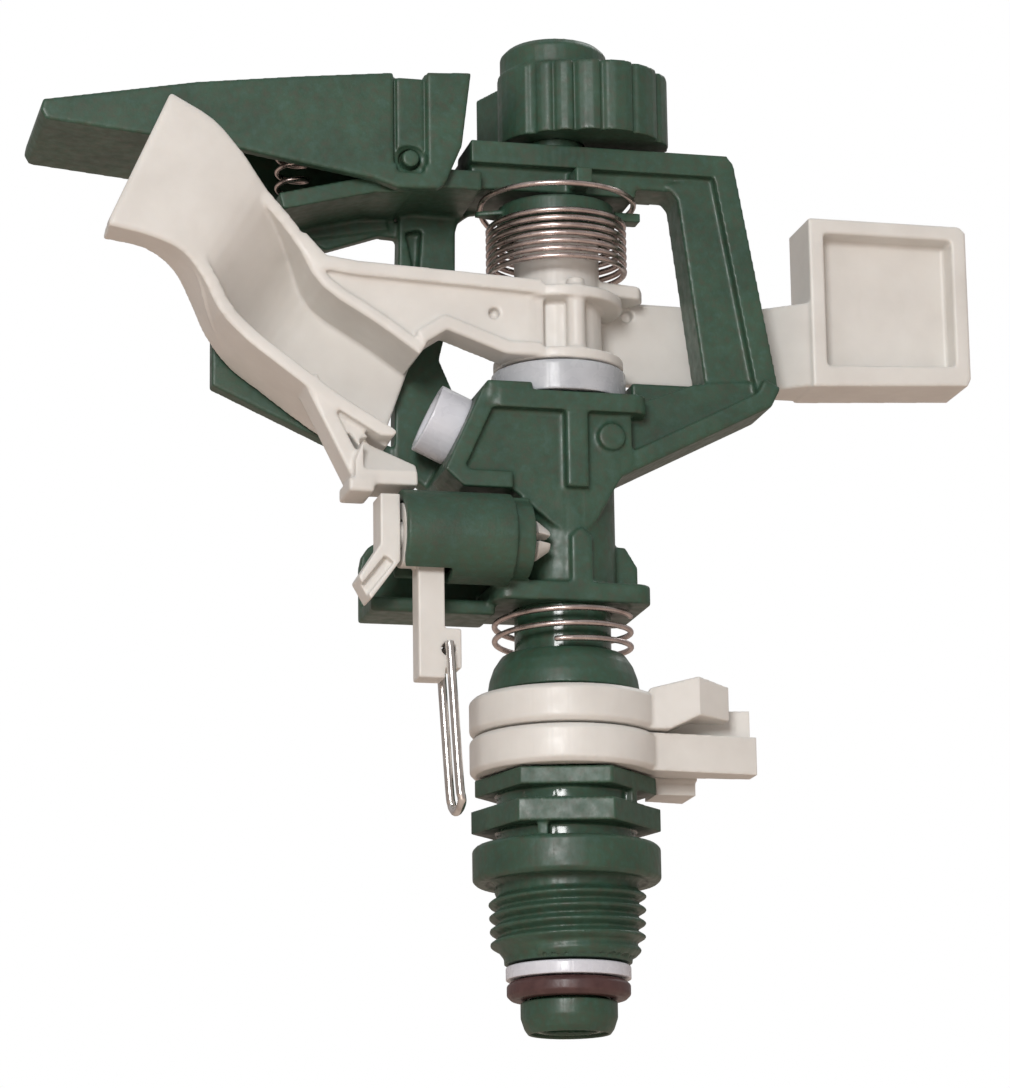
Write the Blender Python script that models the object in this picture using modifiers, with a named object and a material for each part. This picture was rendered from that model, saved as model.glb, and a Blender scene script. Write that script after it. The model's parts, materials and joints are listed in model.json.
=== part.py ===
"""Impact sprinkler on a threaded bearing nipple, as separate moulded and wire pieces.

Shapes are written in millimetres and scaled to metres where meshes are made. The origin is on the vertical
axis of the inlet, at the underside of the nipple's round flange. +Z is up, the jet leaves towards -X and the
counterweight is on the +X side.
"""

import math

import bmesh
import bpy
from mathutils import Matrix, Vector

MM = 0.001
GAP = 0.3
PART_COLLECTION = "impact_sprinkler"
CUTTER_COLLECTION = "cutters"

# Threaded bearing nipple, half-inch taper pipe thread
THREAD_PITCH = 1.814
THREAD_TOP_R = 10.65
THREAD_TAPER = 1.0 / 32.0
THREAD_DEPTH = 1.1
THREAD_TURNS = 5
NIPPLE_BOTTOM_Z = -10.8
NIPPLE_TOP_Z = 25.4
NIPPLE_NECK_R = 9.3
NIPPLE_END_R = 8.6
FLANGE_R = 12.7
FLANGE_H = 5.0
HEX_LOWER = (6.9, 10.0, 12.8)
HEX_UPPER = (11.9, 14.3, 12.3)
HEX_TURN = math.radians(16.5)
STEM_LOWER_R = 5.6
STEM_UPPER_R = 6.6
STEM_BORE_R = 3.9
STEM_SHOULDER_Z = 24.0
STEM_TOP_Z = 46.0
STEM_BOTTOM_Z = -19.8
SLEEVE_BOTTOM_Z = -20.2
SLEEVE_TOP_Z = -15.9
SLEEVE_R = 6.5
SPIGOT_R = 4.9
WASHER_R = 8.4
CAP_TOP_Z = 31.0
CAP_BASE_R = 10.4
CAP_TOP_R = 8.7

# Friction collars that set the arc
COLLAR_BORE_R = NIPPLE_NECK_R + GAP
COLLAR_R = 12.9
LOWER_COLLAR_Z = (14.6, 19.8)
UPPER_COLLAR_Z = (20.1, 25.2)

# Sprinkler body and bridge
TUBE_R = 7.4
PLATE_Z = (37.3, 40.0)
BODY_TOP_Z = 66.3
TOP_LIP_Z = 67.4
FRAME_FRONT_Y = -6.0
FRAME_RIGHT_BACK_Y = 2.8
FRAME_BACK_Y = 8.9
WING_FRONT_Y = 5.6
BEAM_TOP_Z = 102.4
KNOB_POST_R = 4.0
KNOB_POST_TOP_Z = 110.0
CAM_Z = (104.0, 114.2)
KNOB_TOP_Z = 118.0
KNOB_R = 7.5

# Jet
JET_RISE = math.radians(24.3)
NOZZLE_TIP = Vector((-18.65, 0.0, 64.0))
NOZZLE_R = 4.9
NOZZLE_SPIGOT_R = 3.9
NOZZLE_BORE_R = 2.2

# Trip mechanism
WIRE_X = -18.4
BARREL_Y = -9.0
BARREL_Z = 45.0
BARREL_R = 6.2
BARREL_BORE_R = 4.7
BARREL_X = (-24.6, -9.6)
BARREL_NECK_END_X = -6.9

# Deflector flap
HINGE_X = -22.4
HINGE_Z = 98.4
FLAP_Y = (-8.6, 11.0)
FLAP_WALL = 1.7
PEG_R = 1.2

# Arm
ARM_BORE_R = 3.6
PIN_R = 2.2
HUB_R = 5.9
HUB_FLANGE_R = 9.0
ARM_BOTTOM_Z = 71.1
WASHER_RING_R = 9.3
SHEET = 1.8
LOWER_REACH = 0.7

# Springs
ARM_SPRING_R = 9.45
ARM_SPRING_Z = (84.9, 92.6)
ARM_SPRING_TOP_R = 10.9
ARM_SPRING_TOP_Z = 95.4
ARM_WIRE_R = 0.4
BEARING_SPRING_R = 9.3
BEARING_WIRE_R = 0.4

for item in list(bpy.data.objects):
    bpy.data.objects.remove(item, do_unlink=True)

parts = bpy.data.collections.new(PART_COLLECTION)
cutters = bpy.data.collections.new(CUTTER_COLLECTION)
bpy.context.scene.collection.children.link(parts)
bpy.context.scene.collection.children.link(cutters)


def plastic(name, colour, roughness, metallic=0.0):
    """A Principled material with one colour, roughness and metallic value."""
    made = bpy.data.materials.new(name)
    made.use_nodes = True
    shader = made.node_tree.nodes["Principled BSDF"]
    shader.inputs["Base Color"].default_value = (*colour, 1.0)
    shader.inputs["Roughness"].default_value = roughness
    shader.inputs["Metallic"].default_value = metallic
    return made


GREEN = plastic("green_plastic", (0.045, 0.115, 0.075), 0.45)
CREAM = plastic("cream_plastic", (0.80, 0.77, 0.68), 0.4)
WHITE = plastic("white_nylon", (0.82, 0.82, 0.88), 0.3)
RUBBER = plastic("dark_rubber", (0.06, 0.03, 0.025), 0.7)
SPRING = plastic("spring_wire", (0.55, 0.40, 0.36), 0.3, 1.0)
NICKEL = plastic("nickel_wire", (0.72, 0.70, 0.66), 0.2, 1.0)


def place(name, mesh, colour=None):
    """A named object: a part if it has a material, or else a cutter or a piece to be joined."""
    made = bpy.data.objects.new(name, mesh)
    if colour is None:
        cutters.objects.link(made)
        made.hide_render = True
        made.display_type = "WIRE"
    else:
        parts.objects.link(made)
        made.data.materials.append(colour)
    return made


def smooth(item, degrees=35.0):
    """Shade round faces smooth and keep the corners sharp."""
    item.data.shade_smooth()
    item.data.set_sharp_from_angle(angle=math.radians(degrees))
    return item


def box(name, low, high, colour=None):
    """An axis-aligned box between two corners in millimetres."""
    mesh = bpy.data.meshes.new(name)
    bm = bmesh.new()
    bmesh.ops.create_cube(bm, size=1.0)
    size = Vector(high) - Vector(low)
    middle = (Vector(high) + Vector(low)) / 2
    bmesh.ops.scale(bm, vec=size * MM, verts=bm.verts)
    bmesh.ops.translate(bm, vec=middle * MM, verts=bm.verts)
    bm.to_mesh(mesh)
    bm.free()
    return place(name, mesh, colour)


def rod(name, start, end, radius, colour=None, segments=32, end_radius=None):
    """A cylinder or cone between two points in millimetres."""
    mesh = bpy.data.meshes.new(name)
    start = Vector(start)
    end = Vector(end)
    along = end - start
    bm = bmesh.new()
    bmesh.ops.create_cone(
        bm,
        cap_ends=True,
        segments=segments,
        radius1=radius * MM,
        radius2=(radius if end_radius is None else end_radius) * MM,
        depth=along.length * MM,
    )
    turn = Vector((0, 0, 1)).rotation_difference(along).to_matrix().to_4x4()
    move = Matrix.Translation((start + end) / 2 * MM)
    bmesh.ops.transform(bm, matrix=move @ turn, verts=bm.verts)
    bm.to_mesh(mesh)
    bm.free()
    return place(name, mesh, colour)


def turned(name, profile, colour=None, steps=32, closed=True, centre=(0.0, 0.0, 0.0), axis=None):
    """A Screw modifier on a profile of (radius, height) that runs down its outer side."""
    mesh = bpy.data.meshes.new(name)
    count = len(profile)
    edges = [(i, i + 1) for i in range(count - 1)]
    if closed:
        edges.append((count - 1, 0))
    mesh.from_pydata([(r * MM, 0.0, z * MM) for r, z in profile], edges, [])
    made = place(name, mesh, colour)
    screw = made.modifiers.new("turn", "SCREW")
    screw.steps = steps
    screw.render_steps = steps
    screw.use_merge_vertices = True
    screw.merge_threshold = 0.00001
    made.location = Vector(centre) * MM
    if axis is not None:
        made.rotation_mode = "QUATERNION"
        made.rotation_quaternion = Vector((0, 0, 1)).rotation_difference(Vector(axis))
    return made


def to_mesh(item, colour=None):
    """The evaluated object as a plain mesh object in world space."""
    bpy.context.view_layer.update()
    graph = bpy.context.evaluated_depsgraph_get()
    mesh = bpy.data.meshes.new_from_object(item.evaluated_get(graph))
    bm = bmesh.new()
    bm.from_mesh(mesh)
    bmesh.ops.remove_doubles(bm, verts=bm.verts, dist=0.00001)
    bm.transform(item.matrix_world)
    bm.to_mesh(mesh)
    bm.free()
    mesh.materials.clear()
    name = item.name
    bpy.data.objects.remove(item, do_unlink=True)
    return place(name, mesh, colour)


def plate(name, outline, near, far, colour=None, plane="XZ"):
    """A filled flat outline with a thickness: XZ plates run from near to far in Y, XY in Z and YZ in X."""
    curve = bpy.data.curves.new(name, "CURVE")
    curve.dimensions = "2D"
    curve.fill_mode = "BOTH"
    curve.extrude = abs(far - near) / 2 * MM
    spline = curve.splines.new("POLY")
    spline.points.add(len(outline) - 1)
    for point, (u, v) in zip(spline.points, outline):
        point.co = (u * MM, v * MM, 0.0, 1.0)
    spline.use_cyclic_u = True
    made = bpy.data.objects.new(name, curve)
    cutters.objects.link(made)
    middle = (near + far) / 2 * MM
    if plane == "XZ":
        made.rotation_euler = (math.radians(90), 0.0, 0.0)
        made.location = (0.0, middle, 0.0)
    elif plane == "YZ":
        made.rotation_euler = (math.radians(90), 0.0, math.radians(90))
        made.location = (middle, 0.0, 0.0)
    else:
        made.location = (0.0, 0.0, middle)
    return to_mesh(made, colour)


def wire(name, points, radius, colour=None, sides=2):
    """A round wire through points in millimetres, with filled caps."""
    curve = bpy.data.curves.new(name, "CURVE")
    curve.dimensions = "3D"
    curve.bevel_depth = radius * MM
    curve.bevel_resolution = sides
    curve.use_fill_caps = True
    spline = curve.splines.new("POLY")
    spline.points.add(len(points) - 1)
    for point, spot in zip(spline.points, points):
        point.co = (*(Vector(spot) * MM), 1.0)
    made = bpy.data.objects.new(name, curve)
    parts.objects.link(made)
    if colour is not None:
        made.data.materials.append(colour)
    return made


def combine(target, others, operation):
    """EXACT Boolean modifiers on target, one for each other object."""
    for other in others:
        step = target.modifiers.new(other.name, "BOOLEAN")
        step.operation = operation
        step.solver = "EXACT"
        step.object = other
    return target


def join(target, *others):
    return combine(target, others, "UNION")


def cut(target, *others):
    return combine(target, others, "DIFFERENCE")


def arc(centre, radius, first, last, count):
    """Points on a circular arc, angles in degrees."""
    angles = [math.radians(first + (last - first) * i / (count - 1)) for i in range(count)]
    return [(centre[0] + radius * math.cos(a), centre[1] + radius * math.sin(a)) for a in angles]


def rounded_rectangle(low, high, radius, count=4):
    """Outline of a rectangle with four round corners."""
    x0, y0 = low
    x1, y1 = high
    corners = [
        ((x1 - radius, y0 + radius), -90),
        ((x1 - radius, y1 - radius), 0),
        ((x0 + radius, y1 - radius), 90),
        ((x0 + radius, y0 + radius), 180),
    ]
    return [p for centre, first in corners for p in arc(centre, radius, first, first + 90, count)]


def band(points, width):
    """Outline of a strip of one width along an open polyline, mitred at its bends."""
    spots = [Vector(p) for p in points]
    left = []
    right = []
    for i, spot in enumerate(spots):
        before = (spot - spots[i - 1]).normalized() if i else None
        after = (spots[i + 1] - spot).normalized() if i < len(spots) - 1 else None
        along = ((before or after) + (after or before)).normalized()
        side = Vector((-along.y, along.x))
        lean = along.dot(after or before)
        reach = width / 2 / max(lean, 0.35)
        left.append(tuple(spot + side * reach))
        right.append(tuple(spot - side * reach))
    return left + right[::-1]


def smooth_path(points, steps=4):
    """A Catmull-Rom curve through points."""
    spots = [Vector(p) for p in points]
    ends = [2 * spots[0] - spots[1], *spots, 2 * spots[-1] - spots[-2]]
    path = []
    for i in range(1, len(ends) - 2):
        a, b, c, d = ends[i - 1 : i + 3]
        for k in range(steps):
            t = k / steps
            path.append(0.5 * (2 * b + (c - a) * t + (2 * a - 5 * b + 4 * c - d) * t**2 + (3 * b - a - 3 * c + d) * t**3))
    path.append(spots[-1])
    return [tuple(p) for p in path]


def coil_points(radius, bottom, top, turns, per_turn=12, start=0.0, centre=(0.0, 0.0)):
    """Points of a vertical helix."""
    count = int(turns * per_turn)
    points = []
    for i in range(count + 1):
        angle = start + 2 * math.pi * i / per_turn
        height = bottom + (top - bottom) * i / count
        points.append((centre[0] + radius * math.cos(angle), centre[1] + radius * math.sin(angle), height))
    return points


# ---------------------------------------------------------------- bearing nipple
def bearing_nipple():
    outline = [(STEM_UPPER_R + GAP, NIPPLE_TOP_Z), (NIPPLE_NECK_R, NIPPLE_TOP_Z)]
    outline += [(NIPPLE_NECK_R, FLANGE_H), (FLANGE_R - 0.5, FLANGE_H), (FLANGE_R, FLANGE_H - 0.5)]
    outline += [(FLANGE_R, 0.5), (FLANGE_R - 0.5, 0.0), (THREAD_TOP_R + 0.25, 0.0), (THREAD_TOP_R + 0.25, 0.3)]
    outline += [(THREAD_TOP_R - THREAD_DEPTH, 0.3)]
    for turn in range(THREAD_TURNS):
        crest_z = -0.9 - turn * THREAD_PITCH
        crest_r = THREAD_TOP_R + crest_z * THREAD_TAPER
        root_z = crest_z - THREAD_PITCH / 2
        outline += [(crest_r, crest_z + 0.15), (crest_r, crest_z - 0.15), (crest_r - THREAD_DEPTH, root_z)]
    outline += [(NIPPLE_END_R, NIPPLE_BOTTOM_Z + 0.8), (NIPPLE_END_R, NIPPLE_BOTTOM_Z)]
    outline += [(STEM_LOWER_R + GAP, NIPPLE_BOTTOM_Z), (STEM_LOWER_R + GAP, 20.0), (STEM_UPPER_R + GAP, 20.0)]
    nipple = turned("bearing_nipple", outline, GREEN)
    for label, (low, high, radius) in (("lower_hex", HEX_LOWER), ("upper_hex", HEX_UPPER)):
        ring = rod(label, (0, 0, low), (0, 0, high), radius, segments=6)
        ring.data.transform(Matrix.Rotation(HEX_TURN, 4, "Z"))
        hole = rod(label + "_bore", (0, 0, low - 1), (0, 0, high + 1), NIPPLE_NECK_R - 1.2)
        cut(ring, hole)
        join(nipple, ring)
    return nipple


def bearing_cap():
    outline = [(STEM_UPPER_R + GAP, CAP_TOP_Z)]
    outline += [(CAP_TOP_R - 0.3, CAP_TOP_Z), (CAP_TOP_R, CAP_TOP_Z - 0.4), (9.5, 29.4), (10.1, 27.7)]
    outline += [(CAP_BASE_R, NIPPLE_TOP_Z + GAP), (STEM_UPPER_R + GAP, NIPPLE_TOP_Z + GAP)]
    return turned("bearing_cap", outline, GREEN)


def collar(name, levels, ears):
    """A split friction ring with its ears."""
    low, high = levels
    outline = [(COLLAR_BORE_R, high), (COLLAR_R - 0.6, high), (COLLAR_R, high - 0.6)]
    outline += [(COLLAR_R, low + 0.6), (COLLAR_R - 0.6, low), (COLLAR_BORE_R, low)]
    ring = turned(name, outline, CREAM)
    join(ring, *ears)
    slit = plate(f"{name}_slit", [(8.0, -1.4), (14.0, -1.6), (14.0, 0.1), (8.0, 0.4)], low - 5, high + 5, plane="XY")
    return cut(ring, slit)


def upper_collar():
    low, high = UPPER_COLLAR_Z
    plan = [(9.9, -7.8), (12.4, -8.2), (16.6, -9.0), (21.4, -6.4), (21.4, -3.2), (11.2, -1.2)]
    flare = plate("upper_flare", plan, low - 1.0, high + 4.0, plane="XY")
    side = [(8.0, low), (12.6, low), (16.6, low + 1.8), (22.0, low + 1.6), (22.0, high + 1.1), (16.6, high + 2.1), (8.0, high)]
    combine(flare, [plate("upper_flare_side", side, -10.0, 0.0)], "INTERSECT")
    back_bar = plate("upper_back_bar", [(11.2, 0.2), (25.4, -2.6), (25.4, 1.2), (10.6, 6.4)], low, 24.0, plane="XY")
    return collar("upper_collar", UPPER_COLLAR_Z, [flare, back_bar])


def lower_collar():
    low, high = LOWER_COLLAR_Z
    front_bar = plate("lower_front_bar", [(10.2, -7.0), (25.4, -5.6), (25.4, -1.9), (11.2, -1.2)], low, high, plane="XY")
    plan = [(11.2, 0.2), (18.6, 0.2), (18.6, 7.4), (12.6, 6.4), (10.6, 6.4)]
    back_root = plate("lower_back_root", plan, low, high - 0.1, plane="XY")
    plan = [(12.8, 0.4), (18.4, 0.4), (18.4, 7.2), (12.8, 6.2)]
    back_flare = plate("lower_back_flare", plan, low - 2.0, high - 0.8, plane="XY")
    return collar("lower_collar", LOWER_COLLAR_Z, [front_bar, back_root, back_flare])


def stem():
    outline = [(STEM_BORE_R, STEM_TOP_Z), (STEM_UPPER_R, STEM_TOP_Z), (STEM_UPPER_R, STEM_SHOULDER_Z)]
    outline += [(STEM_LOWER_R, STEM_SHOULDER_Z), (STEM_LOWER_R, SLEEVE_TOP_Z + GAP), (SPIGOT_R, SLEEVE_TOP_Z + GAP)]
    outline += [(SPIGOT_R, STEM_BOTTOM_Z), (STEM_BORE_R, STEM_BOTTOM_Z)]
    turned("riser_stem", outline, GREEN)
    outline = [(SPIGOT_R + GAP, SLEEVE_TOP_Z), (SLEEVE_R, SLEEVE_TOP_Z), (SLEEVE_R, SLEEVE_BOTTOM_Z + 2.2)]
    outline += [(SLEEVE_R - 0.5, SLEEVE_BOTTOM_Z + 0.7), (SPIGOT_R + GAP + 0.3, SLEEVE_BOTTOM_Z)]
    outline += [(SPIGOT_R + GAP, SLEEVE_BOTTOM_Z)]
    turned("stem_end_sleeve", outline, GREEN)


def thrust_washers():
    bore = STEM_LOWER_R + 0.2
    top = NIPPLE_BOTTOM_Z - GAP
    outline = [(bore, top), (WASHER_R - 0.2, top), (WASHER_R, top - 0.2), (WASHER_R, -12.9), (bore, -12.9)]
    turned("thrust_washer", outline, WHITE)
    outline = [(bore, -13.1), (WASHER_R - 0.7, -13.1), (WASHER_R - 0.1, -13.7), (WASHER_R - 0.1, -15.0)]
    outline += [(WASHER_R - 0.7, -15.6), (bore, -15.6)]
    turned("rubber_seal", outline, RUBBER)


# ---------------------------------------------------------------- body and bridge
def along_jet(distance):
    """A point on the jet's axis, measured outwards from the nozzle's tip."""
    return NOZZLE_TIP + distance * Vector((-math.cos(JET_RISE), 0.0, math.sin(JET_RISE)))


def top_lip():
    """The raised left part of the top plate, with a round clearance for the arm's washer."""
    lip = plate("top_lip", rounded_rectangle((-12.2, -8.8), (-5.7, 8.2), 0.6), 65.0, TOP_LIP_Z, plane="XY")
    return cut(lip, rod("top_lip_clearance", (0, 0, 60.0), (0, 0, 70.0), WASHER_RING_R + 0.4, segments=48))


def body_frame():
    body = rod("body_frame", (0, 0, PLATE_Z[0]), (0, 0, 64.5), TUBE_R, GREEN, 40)
    pieces = [
        plate("foot_plate", rounded_rectangle((-11.0, -8.0), (10.8, 9.0), 2.0), *PLATE_Z, plane="XY"),
        plate("foot_gusset", [(5.0, 39.0), (10.5, 39.0), (10.5, 43.8), (8.8, 46.6), (5.0, 46.6)], -1.2, 1.2),
        plate("foot_rib", [(-9.0, 39.5), (-4.0, 39.5), (-4.0, 46.0), (-6.5, 46.0)], -1.2, 1.2, plane="XZ"),
        plate("front_foot_rib", [(-0.6, 39.0), (2.4, 39.0), (2.4, 46.4), (0.9, 47.6), (-0.6, 46.4)], -8.0, -4.0),
        plate("top_plate", rounded_rectangle((-12.3, -8.9), (10.5, 8.3), 2.0), 63.7, BODY_TOP_Z, plane="XY"),
        top_lip(),
    ]
    side = [(-9.4, 65.5), (-12.3, 65.5), (-17.6, 55.2), (-17.2, 53.8), (-13.0, 52.6), (-8.6, 52.7), (-3.0, 48.0)]
    side += [(0.5, 46.3), (3.2, 48.6), (6.5, 54.4), (8.4, 57.0), (8.4, 65.5)]
    pieces.append(plate("side_web", side, 0.05 - TUBE_R, FRAME_BACK_Y - 0.9))
    rim = [(-11.6, 66.0), (-16.6, 55.0), (-15.0, 53.6), (-8.6, 53.6)]
    pieces.append(plate("side_rim", band(rim, 2.4), -8.6, 0.0))
    pieces.append(plate("front_rib", [(-1.2, 53.0), (1.9, 53.0), (1.9, 65.0), (-1.2, 65.0)], -8.8, 0.0))
    pieces.append(rod("gate_boss", (5.4, -8.2, 60.4), (5.4, -6.0, 60.4), 1.9, segments=20))
    strut_web = [(3.0, 56.0), (6.0, 54.8), (28.0, 66.2), (28.0, 70.0), (18.2, 69.3), (9.8, 66.1), (3.0, 66.1)]
    pieces.append(plate("strut_web", strut_web, -5.0, FRAME_RIGHT_BACK_Y - 0.8))
    pieces.append(plate("strut_top", [(10.0, 64.0), (24.0, 67.0), (24.0, 69.9), (10.0, 69.9)], -2.0, 2.1))
    strut_rim = [(2.6, 54.3), (27.6, 67.0), (28.8, 69.4)]
    pieces.append(plate("strut_rim", band(strut_rim, 2.6), FRAME_FRONT_Y - 1.2, FRAME_RIGHT_BACK_Y))
    post_web = [(16.5, 96.0), (15.0, 98.0), (22.0, 101.0), (28.4, 68.0), (20.0, 68.0)]
    pieces.append(plate("post_web", post_web, -4.6, FRAME_RIGHT_BACK_Y - 1.2))
    post_rim = [(28.5, 68.0), (22.8, 100.9), (-13.4, 100.9)]
    pieces.append(plate("bridge_rim", band(post_rim, 3.2), FRAME_FRONT_Y, FRAME_RIGHT_BACK_Y - 0.3))
    beam_web = [(-13.0, 96.1), (10.6, 96.1), (10.6, 100.0), (-13.0, 100.0)]
    pieces.append(plate("beam_web", beam_web, -4.3, FRAME_BACK_Y - 1.5))
    pieces.append(plate("beam_end", [(8.0, 97.3), (21.0, 97.3), (21.0, 100.2), (8.0, 100.2)], -4.4, 2.2))
    fillet = [(-14.0, 91.0), (-13.3, 92.0), (-12.6, 94.3), (-11.0, 95.5), (-9.0, 95.9), (-9.0, 97.0), (-14.0, 97.0)]
    pieces.append(plate("window_fillet", fillet, WING_FRONT_Y + 0.2, FRAME_BACK_Y - 1.8))
    beam_top = [(-13.2, 99.3), (16.0, 99.3), (16.0, BEAM_TOP_Z - 0.3), (-13.2, BEAM_TOP_Z - 0.3)]
    pieces.append(plate("beam_top", beam_top, 0.2, 8.2))
    pieces.append(box("spring_hook", (0.8, -8.6, 96.3), (3.2, -3.9, 98.7)))
    pieces.append(rod("knob_post", (0, 0, 100.0), (0, 0, KNOB_POST_TOP_Z), KNOB_POST_R, segments=24))
    lug = [(-12.0, 95.0), (-12.0, 97.8), (-18.6, 97.8), (-19.6, 100.6), (-25.4, 100.6), (-27.6, 95.9)]
    lug += [(-22.0, 94.5), (-19.0, 95.1)]
    pieces.append(plate("hinge_lug", lug, FLAP_Y[0] + FLAP_WALL + GAP, FRAME_BACK_Y - 0.4))
    peg_ends = (FLAP_Y[0] + 0.2, FLAP_Y[1] - 0.2)
    pieces.append(rod("hinge_peg", (HINGE_X, peg_ends[0], HINGE_Z), (HINGE_X, peg_ends[1], HINGE_Z), PEG_R, segments=20))
    brace = [(-22.0, 95.4), (-27.0, 95.2), (-40.0, 91.9)]
    pieces.append(plate("brace", band(brace, 2.4), FRAME_FRONT_Y, FRAME_BACK_Y - 0.2))
    pieces.append(rod("spring_seat_peg", (-37.2, 1.0, 91.8), (-37.2, 1.0, 95.4), 1.3, segments=16))
    post = [(-21.0, 96.0), (-13.0, 96.0), (-13.2, 84.0), (-15.6, 74.0), (-12.4, 66.5), (-9.0, 54.0), (-17.0, 55.0)]
    pieces.append(plate("left_post", post + [(-22.0, 59.0), (-21.8, 74.0)], WING_FRONT_Y, FRAME_BACK_Y))
    wing = [(-23.0, 94.2), (-38.5, 91.4), (-45.8, 76.5), (-45.8, 69.8), (-30.0, 62.6), (-15.0, 56.6)]
    pieces.append(plate("wing_rim", band(wing, 3.2), WING_FRONT_Y + 0.3, FRAME_BACK_Y - 0.3))
    gusset = [(-38.6, 91.6), (-21.5, 94.2), (-21.2, 91.6), (-23.9, 91.8), (-31.4, 89.2), (-33.2, 90.0), (-35.6, 90.2)]
    pieces.append(plate("wing_gusset", gusset, WING_FRONT_Y + 0.7, FRAME_BACK_Y - 0.6))
    channel_back = [(-27.4, 36.0), (-27.4, 43.4), *arc((-23.3, 43.4), 4.1, 180, 90, 5), (-6.0, 47.5), (-6.0, 38.5)]
    pieces.append(plate("channel_back", channel_back + [(-10.2, 37.5), (-10.4, 36.0)], 3.6, 5.4))
    pieces.append(box("channel_floor", (-27.3, -3.6, 35.9), (-10.2, 5.0, 37.9)))
    pieces.append(rod("barrel", (BARREL_X[0], BARREL_Y, BARREL_Z), (BARREL_X[1], BARREL_Y, BARREL_Z), BARREL_R))
    neck_ends = ((BARREL_X[1] - 1.0, BARREL_Y, BARREL_Z), (BARREL_NECK_END_X, BARREL_Y, BARREL_Z))
    pieces.append(rod("barrel_neck_ring", *neck_ends, BARREL_R - 0.9))
    neck = [(-9.3, 41.0), (-6.5, 41.0), (-6.5, 51.0), (-9.3, 51.0)]
    pieces.append(plate("barrel_neck", neck, BARREL_Y, 0.0))
    pieces.append(plate("barrel_root", [(-16.0, 46.5), (-6.0, 46.5), (-6.0, 50.0), (-16.0, 50.0)], BARREL_Y + 3.5, 5.0))
    join(body, *pieces)
    holes = [
        rod("stem_socket", (0, 0, 36.0), (0, 0, STEM_TOP_Z + GAP), STEM_UPPER_R + GAP / 2, segments=40),
        rod("riser_bore", (0, 0, 45.0), (0, 0, 58.0), STEM_BORE_R, segments=24),
        rod("jet_bore", along_jet(6.0), along_jet(-19.0), NOZZLE_SPIGOT_R + GAP, segments=24),
        rod("nozzle_seat", along_jet(9.0), along_jet(-4.6 - GAP), NOZZLE_R + GAP),
        rod("pin_socket", (0, 0, 61.5), (0, 0, 69.0), PIN_R + GAP / 2, segments=20),
        rod("pin_top", (0, 0, 93.0), (0, 0, 100.0 + GAP), PIN_R + GAP / 2, segments=20),
        rod("barrel_bore", (-26.0, BARREL_Y, BARREL_Z), (-8.6, BARREL_Y, BARREL_Z), BARREL_BORE_R, segments=24),
        rod("prong_hole", (-10.0, BARREL_Y, BARREL_Z), (-5.0, BARREL_Y, BARREL_Z), 2.6, segments=20),
        box("lever_slot", (-26.0, BARREL_Y - 3.4, 30.0), (-18.0, BARREL_Y + 3.4, BARREL_Z - 1.0)),
        plate("bridge_corner", [(22.2, 104.0), (26.4, 104.0), (26.4, 98.7)], -9.0, 6.0),
        box("prong_room", (-6.7, BARREL_Y - 3.4, BARREL_Z - 3.4), (-3.4, BARREL_Y + 1.2, BARREL_Z + 3.4)),
    ]
    return cut(body, *holes)


def nozzle():
    back = along_jet(-4.6)
    piece = rod("nozzle", back, along_jet(0.0), NOZZLE_R, WHITE, 36)
    spigot = rod("nozzle_spigot", along_jet(-13.0), along_jet(-2.0), NOZZLE_SPIGOT_R, segments=28)
    bore = rod("nozzle_bore", along_jet(-14.0), along_jet(1.0), NOZZLE_BORE_R, segments=24)
    mouth = rod("nozzle_mouth", along_jet(-2.8), along_jet(0.4), NOZZLE_BORE_R - 0.5, segments=28, end_radius=4.0)
    join(piece, spigot)
    return cut(piece, bore, mouth)


def flow_vane():
    """Cross-shaped straightener in the passage behind the nozzle."""
    along = (along_jet(0.0) - along_jet(-1.0)).normalized()
    middle = along_jet(-15.2)
    blade_one = box("flow_vane", (-1.6, -3.3, -0.35), (1.6, 3.3, 0.35), GREEN)
    blade_two = box("vane_blade", (-1.6, -0.35, -3.3), (1.6, 0.35, 3.3))
    turn = Vector((1, 0, 0)).rotation_difference(along).to_matrix().to_4x4()
    for blade in (blade_one, blade_two):
        blade.data.transform(Matrix.Translation(middle * MM) @ turn)
    return join(blade_one, blade_two)


def fulcrum_pin():
    return rod("fulcrum_pin", (0, 0, 62.0), (0, 0, 99.9), PIN_R, NICKEL, 20)


# ---------------------------------------------------------------- spoon-ended arm
# Stations across the spoon and its tray: lower edge (x, z), upper edge (x, z) and depth y of the front face
SPOON_STATIONS = (
    ((-63.9, 86.2), (-55.8, 104.4), -11.4),
    ((-58.2, 85.0), (-50.2, 101.2), -11.4),
    ((-53.6, 83.0), (-46.4, 97.0), -11.2),
    ((-50.6, 79.6), (-42.9, 92.6), -9.6),
    ((-48.2, 75.4), (-39.2, 88.8), -4.6),
    ((-44.8, 71.9), (-36.4, 85.2), 0.4),
    ((-41.0, 69.0), (-33.5, 80.6), 3.0),
    ((-33.5, 63.6), (-26.6, 76.2), 3.2),
    ((-25.2, 58.6), (-20.4, 71.9), 3.2),
)
LOWER_FLANGE_Y = (
    (-11.2, -4.8),
    (-11.2, -5.2),
    (-11.0, -2.0),
    (-10.4, 1.4),
    (-9.7, 3.2),
    (-9.4, 5.2),
    (-9.4, 5.2),
    (-9.4, 5.2),
    (-9.4, 5.2),
)
UPPER_FLANGE_Y = (
    (-11.0, -9.6),
    (-9.5, -8.0),
    (-8.6, -2.6),
    (-8.1, 2.4),
    (-8.0, 5.1),
    (-8.0, 5.1),
    (-8.0, 5.1),
)


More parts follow.
